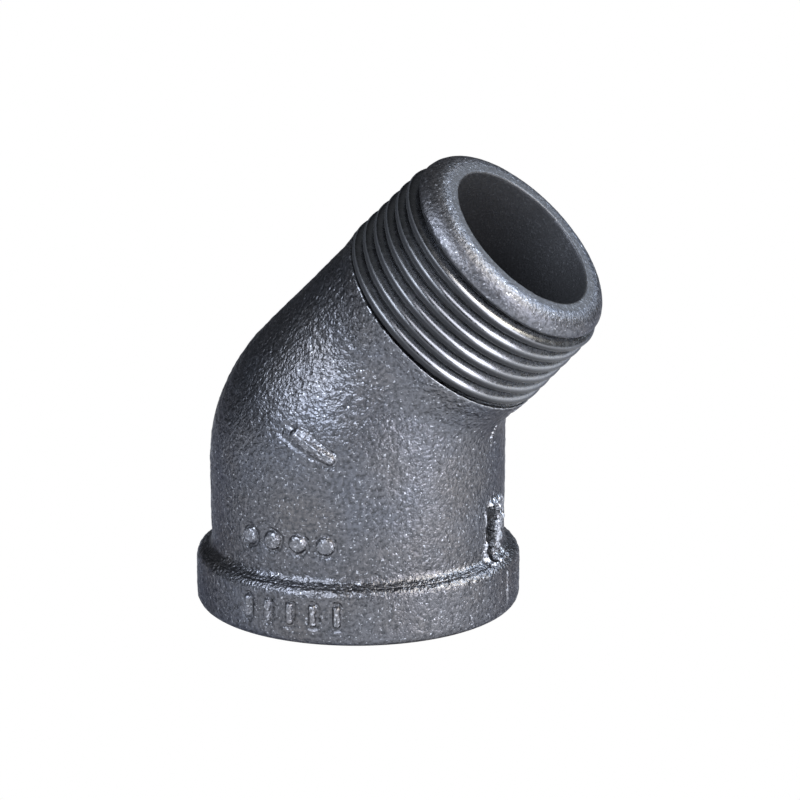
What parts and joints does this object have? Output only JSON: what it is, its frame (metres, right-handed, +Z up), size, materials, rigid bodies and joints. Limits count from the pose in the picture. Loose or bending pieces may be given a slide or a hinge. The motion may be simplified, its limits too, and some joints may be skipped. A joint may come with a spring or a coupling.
{
  "type": "45 degree street elbow",
  "caption": "45 degree street elbow in black malleable iron: banded female socket with inside taper pipe thread, male spigot with outside taper pipe thread, open waterway.",
  "frame": {"origin": "centre of the socket's face, where the banded female end rests", "axes": "+Z up the socket's axis into the elbow; the spigot leans 45 degrees from +Z towards +X; the mould's parting plane is y = 0"},
  "size_m": [0.0582, 0.0458, 0.0642],
  "materials": {
    "cast_skin": "as-cast black oxide skin, fine orange-peel grain, dull metallic sparkle",
    "cut_thread": "machined, dark oiled, smooth with bright crests",
    "fracture": "rough torn metal"
  },
  "bodies": {
    "root": {"cast_body": "cast_skin", "socket_band": "cast_skin", "socket_thread": "cut_thread", "male_thread": "cut_thread", "nose_ring": "cast_skin", "throat_fin": "cast_skin", "back_fin": "cast_skin", "gate_stub": "fracture", "size_bar": "cast_skin", "body_pips": "cast_skin", "band_strokes": "cast_skin"}
  },
  "joints": []
}
